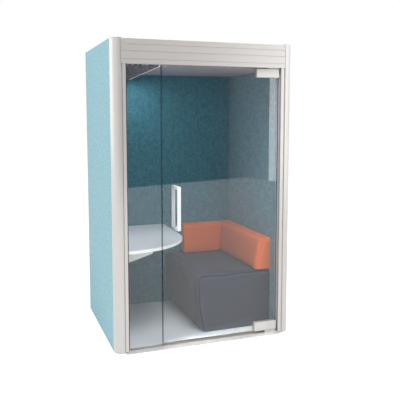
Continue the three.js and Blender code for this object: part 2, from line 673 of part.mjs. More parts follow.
// A core in the pane's notch takes the pivot, and two covers clamp the pane round it.
function addPatch(label, coverZ, [coreBottom, coreTop]) {
  const pivotX = across(PIVOT);
  const left = across(PATCH_CORE_MIDDLE - PATCH_CORE_HALF_WIDTH);
  const right = across(PATCH_CORE_MIDDLE + PATCH_CORE_HALF_WIDTH);
  const front = GLASS_MIDDLE - PATCH_CORE_HALF_DEPTH;
  const back = GLASS_MIDDLE + PATCH_CORE_HALF_DEPTH;
  const isTop = label === 'top';
  const lowGap = isTop ? GAP : 0;
  const highGap = isTop ? 0 : GAP;
  const boreDepth = PIN_REACH + PIN_END;
  const mouth = isTop ? [coreTop - boreDepth, coreTop + PAST] : [coreBottom - PAST, coreBottom + boreDepth];
  const core = cut(
    block(left + GAP, right - GAP, front, back, coreBottom + lowGap, coreTop - highGap),
    upright(PIN_RADIUS + GAP, pivotX, GLASS_MIDDLE, ...mouth));
  add(`${label}_patch_core`, core, 'steel');

  const pocketZ = isTop ? [coreBottom, coreTop + PAST] : [coreBottom - PAST, coreTop];
  const coverX = [across(PATCH_LEFT), across(PATCH_RIGHT)];
  const outer = cut(
    roundedBlock(...coverX, GLASS_FRONT - GAP - PATCH_COVER, GLASS_FRONT - GAP, ...coverZ,
      PATCH_EDGE_RADIUS),
    block(left, right, front - GAP, GLASS_FRONT, ...pocketZ));
  const inner = cut(
    roundedBlock(...coverX, GLASS_BACK + GAP, GLASS_BACK + GAP + PATCH_COVER, ...coverZ,
      PATCH_EDGE_RADIUS),
    block(left, right, GLASS_BACK, back + GAP, ...pocketZ));
  add(`${label}_patch_outer_cover`, outer, 'aluminium');
  add(`${label}_patch_inner_cover`, inner, 'aluminium');
}

// Back-to-back D pulls on two bolts through the pane.
function addPulls(boltHeights) {
  const x0 = across(PULL_MIDDLE - PULL_WIDTH / 2);
  const x1 = across(PULL_MIDDLE + PULL_WIDTH / 2);
  const pull = (foot, outward) => {
    const reach = foot + outward * PULL_REACH;
    const inside = reach - outward * PULL_BAR;
    const corner = reach - outward * PULL_CORNER;
    const shape = new THREE.Shape();
    shape.moveTo(foot, PULL_BOTTOM);
    shape.lineTo(corner, PULL_BOTTOM);
    shape.quadraticCurveTo(reach, PULL_BOTTOM, reach, PULL_BOTTOM + PULL_CORNER);
    shape.lineTo(reach, PULL_TOP - PULL_CORNER);
    shape.quadraticCurveTo(reach, PULL_TOP, corner, PULL_TOP);
    shape.lineTo(foot, PULL_TOP);
    shape.lineTo(foot, PULL_TOP - PULL_LEG);
    shape.lineTo(inside, PULL_TOP - PULL_LEG);
    shape.lineTo(inside, PULL_BOTTOM + PULL_LEG);
    shape.lineTo(foot, PULL_BOTTOM + PULL_LEG);
    const ends = [foot - outward * PAST, foot + outward * BOLT_GRIP].sort((a, b) => a - b);
    const sockets = boltHeights.map((height) => bolt(BOLT_RADIUS + GAP, height, ...ends));
    return cut(extrudeAcross(shape, x0, x1), ...sockets);
  };
  const bolt = (radius, height, y0, y1) => new THREE.CylinderGeometry(radius, radius, y1 - y0, 16)
    .translate(across(PULL_MIDDLE), (y0 + y1) / 2, height);
  add('outer_pull', pull(GLASS_FRONT - GAP, -1), 'white_paint');
  add('inner_pull', pull(GLASS_BACK + GAP, 1), 'white_paint');
  boltHeights.forEach((height, index) => {
    const label = index === 0 ? 'lower' : 'upper';
    const front = GLASS_FRONT - BOLT_GRIP + BOLT_END;
    const back = GLASS_BACK + BOLT_GRIP - BOLT_END;
    add(`${label}_pull_bolt`, bolt(BOLT_RADIUS, height, front, back), 'steel');
  });
}

// Fixed pivots above and below the door, and the stop that keeps it from swinging inward.
function addPivots() {
  const x = across(PIVOT);
  const headerBottom = HEIGHT - HEADER_HEIGHT;
  const plate = [x - PIVOT_PLATE_HALF_WIDTH, x + PIVOT_PLATE_HALF_WIDTH,
    GLASS_MIDDLE - PIVOT_PLATE_HALF_DEPTH, GLASS_MIDDLE + PIVOT_PLATE_HALF_DEPTH];
  const topPlate = block(...plate, headerBottom - PIVOT_PLATE, headerBottom - GAP);
  const topPin = upright(PIN_RADIUS, x, GLASS_MIDDLE, DOOR_TOP - PIN_REACH, headerBottom - PIVOT_PLATE / 2);
  add('top_pivot', join(topPlate, topPin), 'steel');
  const blockTop = DOOR_BOTTOM - PIVOT_BLOCK_CLEARANCE;
  const floorBlock = roundedBlock(...plate, THRESHOLD_TOP + GAP, blockTop, FITTING_EDGE_RADIUS);
  const spindle = upright(PIN_RADIUS, x, GLASS_MIDDLE, blockTop - FITTING_EDGE_RADIUS,
    DOOR_BOTTOM + PIN_REACH);
  add('floor_pivot', join(floorBlock, spindle), 'aluminium');
  const stop = roundedBlock(across(STOP_LEFT), across(STOP_RIGHT), STOP_FRONT, STOP_BACK,
    headerBottom - STOP_HEIGHT, headerBottom - GAP, FITTING_EDGE_RADIUS);
  add('header_door_stop', stop, 'white_paint');
}

function addWorktop() {
  const left = across(SIDE_WALL + WORKTOP_CLEARANCE);
  const back = BACK_FACE - WORKTOP_CLEARANCE;
  const inset = WORKTOP_EDGE_RADIUS;
  const shape = new THREE.Shape();
  shape.moveTo(left + inset, back - inset);
  shape.lineTo(left + inset, WORKTOP_FRONT + inset);
  const reachX = across(WORKTOP_RIGHT) - left - 2 * inset;
  const reachY = WORKTOP_CURVE_START - WORKTOP_FRONT - inset;
  shape.absellipse(left + inset, WORKTOP_CURVE_START, reachX, reachY, -Math.PI / 2, 0, false, 0);
  shape.lineTo(left + inset + reachX, back - inset);
  const slab = new THREE.ExtrudeGeometry(shape, {
    depth: WORKTOP_THICKNESS - 2 * inset,
    bevelEnabled: true,
    bevelThickness: inset,
    bevelSize: inset,
    bevelSegments: 3,
    curveSegments: 2 * CURVE_STEPS,
  });
  add('worktop', slab.translate(0, 0, WORKTOP_TOP - WORKTOP_THICKNESS + inset), 'worktop');

  // Tapered cantilever arms with a foot against the wall
  const wall = across(SIDE_WALL + GAP);
  const top = WORKTOP_TOP - WORKTOP_THICKNESS - GAP;
  const tip = wall + BRACKET_REACH;
  for (const [name, y0] of Object.entries(BRACKET_POSITIONS)) {
    const arm = new THREE.Shape();
    arm.moveTo(wall, top);
    arm.lineTo(wall, top - BRACKET_ROOT);
    arm.lineTo(wall + BRACKET_CORNER, top - BRACKET_ROOT);
    arm.lineTo(tip - BRACKET_CORNER, top - BRACKET_TIP);
    arm.quadraticCurveTo(tip, top - BRACKET_TIP, tip, top - BRACKET_TIP + BRACKET_CORNER);
    arm.lineTo(tip, top);
    add(name, extrudeBack(arm, y0, y0 + BRACKET_THICKNESS), 'white_paint');
  }
}

// Places along one side of a padded block: close together in the rounded edges, even between them.
function stations(low, high, radius, count) {
  const places = [low, low + EDGE_SPLIT * radius, low + radius];
  for (let step = 1; step < count; step++) {
    places.push(low + radius + ((high - low - 2 * radius) * step) / count);
  }
  return places.concat([high - radius, high - EDGE_SPLIT * radius, high]);
}

// Upholstered block with rounded edges; warp moves each point to give it its crown, bulge and lean.
function paddedBlock(low, high, radius, counts, warp) {
  const places = [0, 1, 2].map((axis) => stations(low[axis], high[axis], radius, counts[axis]));
  const geometry = new THREE.BoxGeometry(1, 1, 1, ...places.map((list) => list.length - 1));
  const position = geometry.attributes.position;
  const inset = new THREE.Vector3(radius, radius, radius);
  const lowCore = new THREE.Vector3(...low).add(inset);
  const highCore = new THREE.Vector3(...high).sub(inset);
  for (let index = 0; index < position.count; index++) {
    const place = [0, 1, 2].map((axis) => {
      const list = places[axis];
      return list[Math.round((position.getComponent(index, axis) + 0.5) * (list.length - 1))];
    });
    const point = new THREE.Vector3(...place);
    const core = point.clone().clamp(lowCore, highCore);
    point.sub(core).setLength(radius).add(core);
    warp(point);
    position.setXYZ(index, point.x, point.y, point.z);
  }
  geometry.computeVertexNormals();
  return geometry;
}

// Share of the way from low to high.
function share(value, low, high) {
  return (value - low) / (high - low);
}

// A smooth rise between low and high, 1 halfway and 0 at both ends and beyond.
function hump(value, low, high) {
  const centred = 2 * share(value, low, high) - 1;
  return Math.max(0, 1 - centred * centred);
}

// Padded pieces run past the walls and are cut off there, so their wall sides are flat and square.
function addSeating() {
  const right = across(WIDTH - SIDE_WALL) - UPHOLSTERY_CLEARANCE;
  const back = BACK_FACE - UPHOLSTERY_CLEARANCE;
  const pastRight = right + SEAT_EDGE_RADIUS + PAST;
  const pastBack = back + SEAT_EDGE_RADIUS + PAST;
  const walls = [
    block(right, right + SIDE_WALL, 0, back + BACK_WALL, 0, HEIGHT),
    block(-HALF, right + SIDE_WALL, back, back + BACK_WALL, 0, HEIGHT),
  ];
  const seatLeft = across(SEAT_LEFT);
  const seatBottom = FLOOR_TOP + GAP;
  const cushionBottom = SEAT_TOP + CUSHION_LIFT;
  const rightFace = across(RIGHT_CUSHION_LEFT);
  const seat = paddedBlock(
    [seatLeft, SEAT_FRONT, seatBottom - SEAT_EDGE_RADIUS / 2],
    [pastRight, pastBack, SEAT_TOP],
    SEAT_EDGE_RADIUS, [8, 9, 6],
    (point) => {
      const height = share(point.z, seatBottom, SEAT_TOP);
      const down = 1 - height;
      const leftward = share(point.x, right, seatLeft);
      const open = hump(point.x, seatLeft, rightFace - CUSHION_BORDER)
        * hump(point.y, SEAT_FRONT, REAR_CUSHION_FRONT - CUSHION_BORDER);
      point.z += SEAT_CROWN * open * Math.max(0, height) ** 4;
      point.x += leftward * (SEAT_TUCK * down * down - 4 * SEAT_BULGE * down * height);
      point.z = Math.max(point.z, seatBottom);
    });
  add('seat_block', cut(seat, ...walls), 'seat_fabric');

  const lean = (height) => RIGHT_CUSHION_LEAN * height;
  const rightCushion = paddedBlock(
    [rightFace, SEAT_FRONT, cushionBottom], [pastRight, pastBack, CUSHION_TOP],
    CUSHION_EDGE_RADIUS, [2, 8, 4],
    (point) => {
      const height = share(point.z, cushionBottom, CUSHION_TOP);
      const leftward = share(point.x, right, rightFace);
      const crown = hump(point.y, SEAT_FRONT, REAR_CUSHION_FRONT)
        * hump(point.z, cushionBottom, CUSHION_TOP);
      point.x += leftward ** 2 * (lean(height) - CUSHION_CROWN * crown);
    });
  add('right_back_cushion', cut(rightCushion, ...walls), 'cushion_fabric');

  const rearLeft = across(REAR_CUSHION_LEFT);
  const rearRight = rightFace - CUSHION_PARTING;
  const rearCushion = paddedBlock(
    [rearLeft, REAR_CUSHION_FRONT, cushionBottom], [rearRight, pastBack, CUSHION_TOP],
    CUSHION_EDGE_RADIUS, [6, 2, 4],
    (point) => {
      const height = share(point.z, cushionBottom, CUSHION_TOP);
      const forward = share(point.y, back, REAR_CUSHION_FRONT);
      const rightward = share(point.x, rearLeft, rearRight);
      const crown = hump(point.x, rearLeft, rearRight) * hump(point.z, cushionBottom, CUSHION_TOP);
      point.y += forward ** 2 * (REAR_CUSHION_LEAN * height - CUSHION_CROWN * crown);
      point.x += rightward ** 2 * lean(height);
    });
  add('rear_back_cushion', cut(rearCushion, ...walls), 'cushion_fabric');
}

addPosts();
addHeader();
addThreshold();
addJambs();
addWalls();
addFloor();
addCeilingAndRoof();
addFan();
addDoor();
addPivots();
addWorktop();
addSeating();

// The outer pull stands in front of the posts, so the footprint's middle lies forward of the walls' middle.
const PULL_PROJECTION = PULL_REACH - (GLASS_FRONT - GAP);
pod.position.set(0, -(DEPTH - PULL_PROJECTION) / 2, 0);

export default pod;
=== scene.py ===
"""Looks of an acoustic office pod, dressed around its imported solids. Metres, in the solids' own frame."""
import json
import math
from contextlib import contextmanager

import bmesh
import bpy
from mathutils import Matrix, Vector, noise
from mathutils.bvhtree import BVHTree
from mathutils.kdtree import KDTree


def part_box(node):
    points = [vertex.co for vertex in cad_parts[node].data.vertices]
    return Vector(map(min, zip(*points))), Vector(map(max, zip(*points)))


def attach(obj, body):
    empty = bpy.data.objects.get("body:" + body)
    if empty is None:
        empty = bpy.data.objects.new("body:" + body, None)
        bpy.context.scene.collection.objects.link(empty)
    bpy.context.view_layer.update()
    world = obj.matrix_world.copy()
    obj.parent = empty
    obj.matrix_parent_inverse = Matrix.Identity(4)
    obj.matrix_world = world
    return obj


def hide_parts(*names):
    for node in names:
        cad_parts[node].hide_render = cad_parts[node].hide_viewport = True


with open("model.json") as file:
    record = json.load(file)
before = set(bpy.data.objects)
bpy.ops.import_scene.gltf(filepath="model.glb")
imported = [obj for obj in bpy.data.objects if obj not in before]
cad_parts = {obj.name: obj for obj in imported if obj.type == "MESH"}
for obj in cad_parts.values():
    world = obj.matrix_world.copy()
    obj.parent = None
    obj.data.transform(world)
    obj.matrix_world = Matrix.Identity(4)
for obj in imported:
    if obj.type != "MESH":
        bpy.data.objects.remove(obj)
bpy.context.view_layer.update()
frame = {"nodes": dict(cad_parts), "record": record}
nodes = frame["nodes"]
slot_of = {row["node"]: row["material_slot"] for row in frame["record"]["subparts"]}

# Camera: angles in degrees, lens in millimetres
CAMERA_PLACE = (-1.5074, -4.5526, 1.7150)
CAMERA_TILT = 83.991
CAMERA_TURN = -19.844
CAMERA_LENS = 52.805
CAMERA_SHIFT = -0.0566

# Studio floor: nearly square, with a corner out in front of the pod that shows in the glass
FLOOR_CORNER = Vector((5.174, -11.323))
FLOOR_FRONT_EDGE = Vector((-0.943, 0.332))
FLOOR_SIDE_EDGE = Vector((0.316, 0.949))
FLOOR_REACH = 34.0
FLOOR_DROP = 0.0005  # below the pod's feet
FLOOR_BOUNCE = 0.8  # share of the light that it throws back onto the pod
FLOOR_GLOW = 0.78  # its own brightness in sight
FLOOR_SHADE = 0.40  # share of the light that is added to the glow, so that shadows show
FLOOR_MIRRORED = 1.15  # its brightness in reflections

# Light around the pod
AMBIENT = 0.72  # even light from all around
HORIZON = (  # what polished surfaces see: degrees to the right of straight ahead of the pod, and brightness
    (-180, 0.9), (-150, 1.5), (-138, 2.0), (-94, 2.0), (-84, 1.2), (-74, 0.85), (-40, 0.72), (-25, 0.45),
    (-10, 0.22), (0, 0.12), (18, 0.10), (22, 0.12), (24, 0.45), (27, 0.80), (30, 1.5), (45, 1.9), (68, 1.8),
    (88, 1.6), (108, 1.2), (180, 0.9),
)
HORIZON_SCALE = 3.0  # brightness at the top of the ramp that holds the horizon
WINDOW_START = 26.55  # where a bright window begins and ends on the horizon, in the same degrees
WINDOW_END = 31.0
WINDOW_TOP = 5.0  # degrees above the horizon
WINDOW_LEVEL = 2.9
LAMPS = (  # name, place, target, width and length, watts
    ("top_lamp", (0.3, -3.4, 6.0), (0, 0, 0.6), (3.0, 3.0), 165),
    ("steep_lamp", (0.2, -2.6, 6.2), (0, -0.3, 0.6), (2.0, 2.0), 110),
    ("side_lamp", (-5.85, -1.70, 5.2), (-0.6, -0.4, 1.0), (0.5, 0.5), 105),
    ("low_side_lamp", (-4.5, -1.39, 3.88), (0, -0.47, 0.02), (0.3, 0.3), 35),
)
STRIP_SIZE = (0.7, 0.02)  # of the lamp under the pod's own light strip
STRIP_POWER = 3.5
STRIP_DROP = 0.01  # below that strip
STRIP_LEAN = 0.3  # how far to the right of it the lamp points
GRAZE_PLACE = (0.09, -0.47, 0.02)  # where a narrow beam meets the doorway's floor
GRAZE_TURN = 10.0  # degrees, as are the rise and spread
GRAZE_RISE = 55.0
GRAZE_DISTANCE = 1.6
GRAZE_SIZE = (0.80, 0.16)
GRAZE_SPREAD = 1.0
GRAZE_POWER = 0.30

# Finishes
GLASS_MIRROR = 0.045  # share of the light that a pane mirrors when seen straight on
GLASS_GRAZING = 5.0  # how late that share rises as the sight gets flatter
PANE_FACE = 0.7  # a pane's surface is a face, and no edge, from this much of its direction along Y
WORKTOP_FACE = 0.8  # the worktop's surface is its upper face from this much of its direction along Z
EDGE_HIGHLIGHT_FROM = 0.503  # pointiness from which cloth gets its painted edge highlight, and at which the highlight is full
EDGE_HIGHLIGHT_TO = 0.522
LATTICE_HEIGHT = 0.25  # of the threads, against the slubs
EASED_EDGE = 0.0007  # width of the bevel on a solid's edges
EASED_STEPS = 2
EASED_ANGLE = 50.0  # degrees between two faces, from which their edge is eased
WELD_REACH = 0.00001  # points closer than this become one

# Upholstery. In a form, voxel is the spacing of the mesh, swell the most that stuffing moves a point,
# inset the way from an edge to its sewing, and thread the sewing's radius.
SEAT_FORM = {"voxel": 0.011, "swell": 0.006, "fill": 0.95, "inset": 0.014, "thread": 0.0042}
CUSHION_FORM = {"voxel": 0.007, "swell": 0.005, "fill": 0.9, "inset": 0.010, "thread": 0.0024}
CUSHION_CORNER = (0.042, 0.012)  # radius at the bottom and at the top
SHRINK = 0.003  # of a solid's copy, before stuffing
SMOOTHING = 0.5  # share of the way to its neighbours' middle that a point moves in a pass
SMOOTHING_PASSES = 4
WALL_TOUCH = 0.001  # points this near to a wall are at it
WALL_RUN = 0.04  # how far a copy runs on through the walls until it is cut off there
CLOTH = {  # settings of the pressure simulation
    "quality": 4,
    "mass": 0.3,
    "tension_stiffness": 25,
    "compression_stiffness": 25,
    "shear_stiffness": 10,
    "bending_stiffness": 2,
    "use_pressure": True,
    "uniform_pressure_force": 4.0,
}
SIMULATION_STEPS = 20
HELD_VOXELS = 2  # within this many voxels of the floor and walls, stuffing moves nothing
RIPPLE = 0.0008  # height of a slow unevenness, and its length
RIPPLE_LENGTH = 0.16
SEAM_SPACING = 0.006
SEAM_CORNER_STEPS = 6
SEAM_PRESS = 0.006  # how deep sewing draws a piece in, and how far to its sides
SEAM_PRESS_REACH = 0.014
SEAM_LOOK_BEHIND = 2  # insets behind the front face, at which its left edge is found
SEAM_LOOK_DEEP = 3  # insets below the top and behind the front face, at which its upper edge is found
THREAD_RESOLUTION = 2
CORNER_FOOT = 0.009  # above a cushion's bottom, where its faces are first found
CORNER_HEAD = 0.021  # below its top, where they are last found
RAY_START = 0.1  # outside a solid's box, where the search for its surface starts

# Thin trim
GASKET_WIDTH = 0.0115
GASKET_THICKNESS = 0.0012
PALE_STRIP_THICKNESS = 0.0008
TRIM_GAP = 0.0003

# Shared values
WHITE = (1.0, 1.0, 1.0, 1.0)
ACROSS = Vector((1, 0, 0))
AHEAD = Vector((0, 1, 0))
DOWN = Vector((0, 0, -1))


# Colours

def srgb(red, green, blue):
    """Linear colour of an sRGB colour given in 0 to 255."""
    def linear(value):
        share = value / 255
        return share / 12.92 if share <= 0.04045 else ((share + 0.055) / 1.055) ** 2.4
    return linear(red), linear(green), linear(blue), 1.0


def shaded(colour, factor):
    """The same colour, lighter or darker."""
    return tuple(min(1.0, part * factor) for part in colour[:3]) + (1.0,)


def grey(level):
    return level, level, level, 1.0


# Shader helpers

def add_node(tree, kind, inputs=None, **settings):
    made = tree.nodes.new("ShaderNode" + kind)
    for key, value in settings.items():
        setattr(made, key, value)
    for key, value in (inputs or {}).items():
        made.inputs[key].default_value = value
    return made


def feed(tree, value, socket):
    """Links a node's output to a socket, or sets a plain value on it."""
    if isinstance(value, bpy.types.NodeSocket):
        tree.links.new(value, socket)
    else:
        socket.default_value = value


def new_material(name, **values):
    """A material with one Principled shader, and its tree and shader."""
    made = bpy.data.materials.new(name)
    made.use_nodes = True
    shader = made.node_tree.nodes["Principled BSDF"]
    for key, value in values.items():
        shader.inputs[key.replace("_", " ").title()].default_value = value
    return made, made.node_tree, shader


def empty_tree(owner):
    """The node tree of a material or world, with nothing in it."""
    owner.use_nodes = True
    owner.node_tree.nodes.clear()
    return owner.node_tree


def object_place(tree, stretch=(1, 1, 1)):
    """Coordinates in metres that stay on the piece, drawn out along an axis where stretch is small."""
    place = add_node(tree, "TexCoord").outputs["Object"]
    mapping = add_node(tree, "Mapping", {"Scale": stretch})
    tree.links.new(place, mapping.inputs["Vector"])
    return mapping.outputs["Vector"]


def grain(tree, place, per_metre, detail=2.0, low=0.3, high=0.7):
    """Noise from 0 to 1 with that many patches in a metre."""
    made = add_node(tree, "TexNoise", {"Scale": per_metre, "Detail": detail, "Roughness": 0.55})
    tree.links.new(place, made.inputs["Vector"])
    spread = add_node(tree, "MapRange", {"From Min": low, "From Max": high})
    tree.links.new(made.outputs["Fac"], spread.inputs["Value"])
    return spread.outputs["Result"]


def math_node(tree, operation, *values):
    made = add_node(tree, "Math", operation=operation)
    for socket, value in zip(made.inputs, values):
        feed(tree, value, socket)
    return made.outputs["Value"]


def halves(tree, first, second):
    """The mean of two shares."""
    return math_node(tree, "MULTIPLY", math_node(tree, "ADD", first, second), 0.5)


def blend_colours(tree, share, first, second):
    """first where share is 0, second where it is 1. Sockets 6 and 7 in and 2 out are those for colours."""
    made = add_node(tree, "Mix", data_type="RGBA")
    tree.links.new(share, made.inputs["Factor"])
    feed(tree, first, made.inputs[6])
    feed(tree, second, made.inputs[7])
    return made.outputs[2]


def blend_tones(tree, share, colour, low, high):
    """A colour that runs from one brightness to another with share."""
    return blend_colours(tree, share, shaded(colour, low), shaded(colour, high))


def set_colour(tree, shader, colours):
    tree.links.new(colours, shader.inputs["Base Color"])


def set_bump(tree, shader, height, strength, distance):
    made = add_node(tree, "Bump", {"Strength": strength, "Distance": distance})
    tree.links.new(height, made.inputs["Height"])
    tree.links.new(made.outputs["Normal"], shader.inputs["Normal"])


def set_roughness(tree, shader, share, low, high):
    made = add_node(tree, "MapRange", {"To Min": low, "To Max": high})
    tree.links.new(share, made.inputs["Value"])
    tree.links.new(made.outputs["Result"], shader.inputs["Roughness"])


def own_normal(tree):
    """X, Y and Z of the surface's direction in the piece's own frame."""
    split = add_node(tree, "SeparateXYZ")
    tree.links.new(add_node(tree, "TexCoord").outputs["Normal"], split.inputs["Vector"])
    return split.outputs


def mix_shaders(tree, share, first, second):
    """first where share is 0, second where it is 1."""
    made = add_node(tree, "MixShader")
    feed(tree, share, made.inputs["Fac"])
    tree.links.new(first, made.inputs[1])
    tree.links.new(second, made.inputs[2])
    return made.outputs["Shader"]


def by_ray(tree, lit, seen, mirrored):
    """Shows one shader to the light, one to the eye, also through glass, and one to polished surfaces."""
    path = add_node(tree, "LightPath").outputs
    in_sight = math_node(tree, "MAXIMUM", path["Is Camera Ray"], path["Is Transmission Ray"])
    return mix_shaders(tree, path["Is Glossy Ray"], mix_shaders(tree, in_sight, lit, seen), mirrored)


# Materials

def felt(name, colour, contrast, sheen, cloud=(1, 1, 1), fleck=(1, 1, 1)):
    """Pressed wool with clouds and flecks, each stretched its own way, fine fibres and a soft bloom."""
    made, tree, shader = new_material(name, roughness=0.95, sheen_weight=sheen, sheen_roughness=0.45)
    clouds = grain(tree, object_place(tree, cloud), per_metre=30, detail=4)
    flecks = grain(tree, object_place(tree, fleck), per_metre=70, detail=3, low=0.4, high=0.6)
    tone = halves(tree, clouds, flecks)
    set_colour(tree, shader, blend_tones(tree, tone, colour, low=1 - contrast, high=1 + contrast))
    fibres = grain(tree, object_place(tree), per_metre=900, detail=3)
    set_bump(tree, shader, fibres, strength=0.35, distance=0.0006)
    return made


def speckled_felt(name, dark, light):
    """Charcoal fibre board with pale flecks."""
    made, tree, shader = new_material(name, roughness=0.95, sheen_weight=0.15)
    place = object_place(tree)
    flecks = grain(tree, place, per_metre=75, detail=3, low=0.44, high=0.6)
    set_colour(tree, shader, blend_colours(tree, flecks, dark, light))
    set_bump(tree, shader, grain(tree, place, per_metre=500, detail=3), strength=0.5, distance=0.001)
    return made


def woven(name, colour, contrast, thread, sheen, edge=1.0):
    """Upholstery cloth: a lattice of threads, with slubs, slow changes of tone and a painted highlight, edge
    times lighter, on its convex edges.
    """
    made, tree, shader = new_material(name, roughness=0.9, sheen_weight=sheen, sheen_roughness=0.4)
    place = object_place(tree)
    split = add_node(tree, "SeparateXYZ")
    tree.links.new(place, split.inputs["Vector"])
    turns = 2 * math.pi / thread
    waves = [math_node(tree, "SINE", math_node(tree, "MULTIPLY", part, turns)) for part in split.outputs]
    lattice = math_node(tree, "ADD", math_node(tree, "ADD", waves[0], waves[1]), waves[2])
    slubs = grain(tree, object_place(tree, stretch=(1, 1, 0.25)), per_metre=300, detail=3)
    tone = halves(tree, slubs, grain(tree, place, per_metre=18, detail=3))
    colours = blend_tones(tree, tone, colour, low=1 - contrast, high=1 + contrast)
    # painted highlight: edges that pointiness finds convex are made lighter, for the light they catch
    edge_highlight = add_node(tree, "MapRange", {"From Min": EDGE_HIGHLIGHT_FROM, "From Max": EDGE_HIGHLIGHT_TO})
    tree.links.new(add_node(tree, "NewGeometry").outputs["Pointiness"], edge_highlight.inputs["Value"])
    set_colour(tree, shader, blend_colours(tree, edge_highlight.outputs["Result"], colours, shaded(colour, edge)))
    height = math_node(tree, "ADD", math_node(tree, "MULTIPLY", lattice, LATTICE_HEIGHT), slubs)
    set_bump(tree, shader, height, strength=0.03, distance=0.0005)
    return made


def satin_metal(name, colour, stretch):
    """Anodised extrusion with a fine draw along its length."""
    made, tree, shader = new_material(name, metallic=0.5)
    draw = grain(tree, object_place(tree, stretch), per_metre=1400, detail=2)
    tone = halves(tree, draw, grain(tree, object_place(tree), per_metre=9, detail=3))
    set_colour(tree, shader, blend_tones(tree, tone, colour, low=0.99, high=1.01))
    set_roughness(tree, shader, draw, low=0.255, high=0.265)
    set_bump(tree, shader, draw, strength=0.001, distance=0.0002)
    return made


def plain_surface(name, colour, roughness, peel_per_metre, peel, metallic=0.0):
    """Coated or moulded surface: slight changes of tone and a fine texture."""
    made, tree, shader = new_material(name, metallic=metallic)
    place = object_place(tree)
    cloud = grain(tree, place, per_metre=11, detail=3)
    set_colour(tree, shader, blend_tones(tree, cloud, colour, low=0.975, high=1.02))
    texture = grain(tree, place, peel_per_metre, detail=3)
    set_roughness(tree, shader, texture, low=roughness - 0.05, high=roughness + 0.05)
    set_bump(tree, shader, texture, strength=peel, distance=0.0003)
    return made


def vinyl(name, colour):
    """Sheet flooring with fine chips of two tones."""
    made, tree, shader = new_material(name)
    place = object_place(tree)
    chips = add_node(tree, "TexVoronoi", {"Scale": 240.0})
    tree.links.new(place, chips.inputs["Vector"])
    level = add_node(tree, "RGBToBW")
    tree.links.new(chips.outputs["Color"], level.inputs["Color"])
    set_colour(tree, shader, blend_tones(tree, level.outputs["Val"], colour, low=0.95, high=1.04))
    set_roughness(tree, shader, grain(tree, place, per_metre=14, detail=3), low=0.42, high=0.55)
    set_bump(tree, shader, grain(tree, place, per_metre=700, detail=2), strength=0.12, distance=0.0003)
    return made


def laminate(name, top, edge):
    """Worktop: a finely grained upper face and a plain white edge band."""
    made, tree, shader = new_material(name)
    streak = grain(tree, object_place(tree, stretch=(0.05, 1, 1)), per_metre=160, detail=3)
    grained = blend_tones(tree, streak, top, low=0.965, high=1.02)
    upward = math_node(tree, "GREATER_THAN", own_normal(tree)["Z"], WORKTOP_FACE)
    set_colour(tree, shader, blend_colours(tree, upward, edge, grained))
    set_roughness(tree, shader, streak, low=0.38, high=0.48)
    texture = grain(tree, object_place(tree), per_metre=1100, detail=2)
    set_bump(tree, shader, texture, strength=0.08, distance=0.0002)
    return made


def plywood(name, colour):
    """Raw board with long grain on its faces."""
    made, tree, shader = new_material(name, roughness=0.75)
    rings = grain(tree, object_place(tree, stretch=(0.06, 1, 1)), per_metre=90, detail=5)
    set_colour(tree, shader, blend_tones(tree, rings, colour, low=0.8, high=1.1))
    set_bump(tree, shader, rings, strength=0.2, distance=0.0004)
    return made


def clear_pane(name, tint, edge):
    """Toughened glass: clear faces that mirror a little, and dark polished edges."""
    made = bpy.data.materials.new(name)
    tree = empty_tree(made)
    facing = add_node(tree, "LayerWeight", {"Blend": 0.5}).outputs["Facing"]
    grazing = math_node(tree, "POWER", facing, GLASS_GRAZING)
    rise = math_node(tree, "MULTIPLY", grazing, 1 - GLASS_MIRROR)
    mirrored = math_node(tree, "ADD", rise, GLASS_MIRROR)
    through = add_node(tree, "BsdfTransparent", {"Color": tint})
    mirror = add_node(tree, "BsdfGlossy", {"Color": WHITE, "Roughness": 0.0})
    face = mix_shaders(tree, mirrored, through.outputs["BSDF"], mirror.outputs["BSDF"])
    rim = add_node(tree, "BsdfPrincipled", {"Roughness": 0.12})
    bands = grain(tree, object_place(tree), per_metre=60, detail=2)
    set_colour(tree, rim, blend_tones(tree, bands, edge, low=0.7, high=1.3))
    flat = math_node(tree, "GREATER_THAN", math_node(tree, "ABSOLUTE", own_normal(tree)["Y"]), PANE_FACE)
    whole = mix_shaders(tree, flat, rim.outputs["BSDF"], face)
    tree.links.new(whole, add_node(tree, "OutputMaterial").inputs["Surface"])
    return made


def clear_rubber(name, colour, body):
    """Clear edge seal: each of its walls keeps back a share of what is behind it."""
    made = plain_surface(name, colour, roughness=0.4, peel_per_metre=700, peel=0.05)
    tree = made.node_tree
    through = add_node(tree, "BsdfTransparent", {"Color": (0.97, 0.98, 0.98, 1.0)})
    solid = tree.nodes["Principled BSDF"].outputs["BSDF"]
    mixed = mix_shaders(tree, body, through.outputs["BSDF"], solid)
    tree.links.new(mixed, tree.nodes["Material Output"].inputs["Surface"])
    return made


def lit_diffuser(name, colour, strength):
    """Opal strip with its lamp on."""
    made, tree, shader = new_material(name, roughness=0.5, emission_strength=strength)
    lamps = grain(tree, object_place(tree), per_metre=30, detail=1)
    colours = blend_tones(tree, lamps, colour, low=0.95, high=1.0)
    set_colour(tree, shader, colours)
    tree.links.new(colours, shader.inputs["Emission Color"])
    return made


